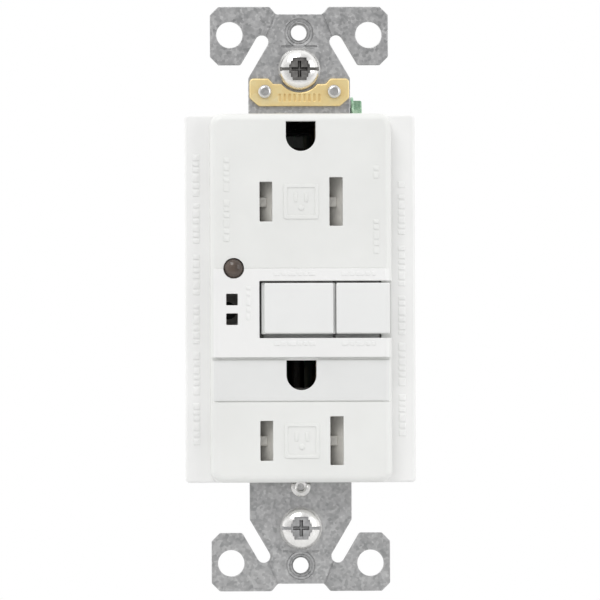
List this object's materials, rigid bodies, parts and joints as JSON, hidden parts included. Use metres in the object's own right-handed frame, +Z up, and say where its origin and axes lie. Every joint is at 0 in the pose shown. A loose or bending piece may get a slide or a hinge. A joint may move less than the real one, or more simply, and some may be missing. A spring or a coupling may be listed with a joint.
{
  "type": "ground-fault receptacle",
  "caption": "Rectangular duplex wall outlet with test and reset buttons, indicator, shutters, side terminals and a slotted steel mounting strap.",
  "frame": {"origin": "middle of the device on the wall plane, which is the back of the mounting strap", "axes": "+X right seen from the front, +Y into the wall, +Z up; the face looks along -Y"},
  "size_m": [0.0418, 0.0338, 0.1062],
  "materials": {
    "white_plastic": "satin",
    "button_plastic": "satin",
    "grey_plastic": "fine texture",
    "tray_plastic": "matt",
    "smoked_plastic": "translucent",
    "lens_plastic": "clear, smoked",
    "black_plastic": "matt",
    "fibre": "pressed fibre",
    "galvanised": "zinc coated",
    "bright_steel": "bright plated",
    "spring_steel": "drawn wire",
    "green_steel": "green plated",
    "brass": "bright",
    "copper": "copper",
    "board": "green board",
    "ferrite": "sintered",
    "varistor_blue": "dipped coating"
  },
  "bodies": {
    "device": {"front_cover": "white_plastic", "contact_tray": "tray_plastic", "rear_housing": "grey_plastic", "assembly_screw_1": "bright_steel", "assembly_screw_2": "bright_steel", "assembly_screw_3": "bright_steel", "assembly_screw_4": "bright_steel", "mounting_strap": "galvanised", "grounding_clip": "brass", "clip_rivet_left": "galvanised", "clip_rivet_right": "galvanised", "strap_rivet": "bright_steel", "screw_retainer_top": "fibre", "screw_retainer_bottom": "fibre", "ground_contact_upper": "brass", "ground_contact_lower": "brass", "shutter_spring_upper": "spring_steel", "shutter_spring_lower": "spring_steel", "reset_spring": "spring_steel", "test_spring": "spring_steel", "line_hot_terminal": "brass", "line_neutral_terminal": "bright_steel", "load_hot_terminal": "brass", "load_neutral_terminal": "bright_steel", "hot_contact_strip": "brass", "neutral_contact_strip": "brass", "solenoid_frame": "galvanised", "solenoid_bobbin": "black_plastic", "solenoid_coil": "copper", "circuit_board": "board", "transformer_boot": "black_plastic", "transformer_core": "ferrite", "varistor": "varistor_blue", "capacitor": "black_plastic", "control_chip": "black_plastic", "indicator_led": "lens_plastic", "indicator_lens": "lens_plastic", "buzzer": "black_plastic"},
    "reset": {"reset_button": "button_plastic", "reset_plunger": "bright_steel"},
    "test": {"test_button": "button_plastic"},
    "test_leaf": {"test_contact": "brass"},
    "upper_shutter": {"shutter_upper": "smoked_plastic"},
    "lower_shutter": {"shutter_lower": "smoked_plastic"},
    "box_screw_top": {"mounting_screw_top": "bright_steel"},
    "box_screw_bottom": {"mounting_screw_bottom": "bright_steel"},
    "earth_screw": {"ground_screw": "green_steel"},
    "carrier": {"latch_carrier": "black_plastic"},
    "hot_arm": {"hot_contact_arm": "copper"},
    "neutral_arm": {"neutral_contact_arm": "copper"},
    "armature": {"solenoid_armature": "bright_steel", "latch_plate": "bright_steel"},
    "line_hot_jaw": {"line_hot_clamp": "brass"},
    "line_hot_driver": {"line_hot_screw": "brass"},
    "line_neutral_jaw": {"line_neutral_clamp": "bright_steel"},
    "line_neutral_driver": {"line_neutral_screw": "bright_steel"},
    "load_hot_jaw": {"load_hot_clamp": "brass"},
    "load_hot_driver": {"load_hot_screw": "brass"},
    "load_neutral_jaw": {"load_neutral_clamp": "bright_steel"},
    "load_neutral_driver": {"load_neutral_screw": "bright_steel"}
  },
  "joints": [
    {"name": "reset_press", "type": "slide", "parent": "device", "child": "reset", "axis": [0, 1, 0], "range_m": [-0.0014, 0.0008], "stiffness_N_per_m": 400, "deforming": ["reset_spring"]},
    {"name": "test_press", "type": "slide", "parent": "device", "child": "test", "axis": [0, 1, 0], "range_m": [0, 0.001], "stiffness_N_per_m": 400, "deforming": ["test_spring"]},
    {"name": "test_leaf_bend", "type": "hinge", "parent": "device", "child": "test_leaf", "pos_m": [0.01065, 0.0068, -0.0082], "axis": [-1, 0, 0], "range_deg": [0, 8.1]},
    {"name": "upper_shutter_slide", "type": "slide", "parent": "device", "child": "upper_shutter", "axis": [1, 0, 0], "range_m": [0, 0.0032], "stiffness_N_per_m": 150, "deforming": ["shutter_spring_upper"]},
    {"name": "lower_shutter_slide", "type": "slide", "parent": "device", "child": "lower_shutter", "axis": [1, 0, 0], "range_m": [0, 0.0032], "stiffness_N_per_m": 150, "deforming": ["shutter_spring_lower"]},
    {"name": "box_screw_top_turn", "type": "hinge", "parent": "device", "child": "box_screw_top", "pos_m": [0, 0, 0.04167], "axis": [0, 1, 0], "continuous": true},
    {"name": "box_screw_bottom_turn", "type": "hinge", "parent": "device", "child": "box_screw_bottom", "pos_m": [0, 0, -0.04167], "axis": [0, 1, 0], "continuous": true},
    {"name": "earth_screw_turn", "type": "hinge", "parent": "device", "child": "earth_screw", "pos_m": [0.0096, 0.0054, 0.0334], "axis": [-1, 0, 0], "continuous": true},
    {"name": "carrier_drop", "type": "slide", "parent": "device", "child": "carrier", "axis": [0, 1, 0], "range_m": [0, 0.0016], "stiffness_N_per_m": 300},
    {"name": "hot_arm_swing", "type": "hinge", "parent": "device", "child": "hot_arm", "pos_m": [-0.0063, 0.01385, 0.01], "axis": [1, 0, 0], "range_deg": [0, 8]},
    {"name": "neutral_arm_swing", "type": "hinge", "parent": "device", "child": "neutral_arm", "pos_m": [0.0063, 0.01385, 0.01], "axis": [1, 0, 0], "range_deg": [0, 8]},
    {"name": "armature_strike", "type": "slide", "parent": "device", "child": "armature", "axis": [0, 0, 1], "range_m": [0, 0.0012], "stiffness_N_per_m": 60},
    {"name": "line_hot_jaw_close", "type": "slide", "parent": "device", "child": "line_hot_jaw", "axis": [1, 0, 0], "range_m": [0, 0.00198]},
    {"name": "line_hot_screw_turn", "type": "hinge", "parent": "line_hot_jaw", "child": "line_hot_driver", "pos_m": [-0.0172, 0.009, 0.017], "axis": [1, 0, 0], "range_deg": [0, 900]},
    {"name": "load_hot_jaw_close", "type": "slide", "parent": "device", "child": "load_hot_jaw", "axis": [1, 0, 0], "range_m": [0, 0.00198]},
    {"name": "load_hot_screw_turn", "type": "hinge", "parent": "load_hot_jaw", "child": "load_hot_driver", "pos_m": [-0.0172, 0.009, -0.017], "axis": [1, 0, 0], "range_deg": [0, 900]},
    {"name": "line_neutral_jaw_close", "type": "slide", "parent": "device", "child": "line_neutral_jaw", "axis": [-1, 0, 0], "range_m": [0, 0.00198]},
    {"name": "line_neutral_screw_turn", "type": "hinge", "parent": "line_neutral_jaw", "child": "line_neutral_driver", "pos_m": [0.0172, 0.009, 0.017], "axis": [-1, 0, 0], "range_deg": [0, 900]},
    {"name": "load_neutral_jaw_close", "type": "slide", "parent": "device", "child": "load_neutral_jaw", "axis": [-1, 0, 0], "range_m": [0, 0.00198]},
    {"name": "load_neutral_screw_turn", "type": "hinge", "parent": "load_neutral_jaw", "child": "load_neutral_driver", "pos_m": [0.0172, 0.009, -0.017], "axis": [-1, 0, 0], "range_deg": [0, 900]}
  ],
  "couplings": [
    {"joint": "test_leaf_bend", "follows": "test_press", "rad_per_m": 140},
    {"joint": "hot_arm_swing", "follows": "carrier_drop", "rad_per_m": 83.3},
    {"joint": "neutral_arm_swing", "follows": "carrier_drop", "rad_per_m": 83.3},
    {"joint": "line_hot_screw_turn", "follows": "line_hot_jaw_close", "rad_per_m": 7915.8},
    {"joint": "load_hot_screw_turn", "follows": "load_hot_jaw_close", "rad_per_m": 7915.8},
    {"joint": "line_neutral_screw_turn", "follows": "line_neutral_jaw_close", "rad_per_m": 7915.8},
    {"joint": "load_neutral_screw_turn", "follows": "load_neutral_jaw_close", "rad_per_m": 7915.8}
  ]
}
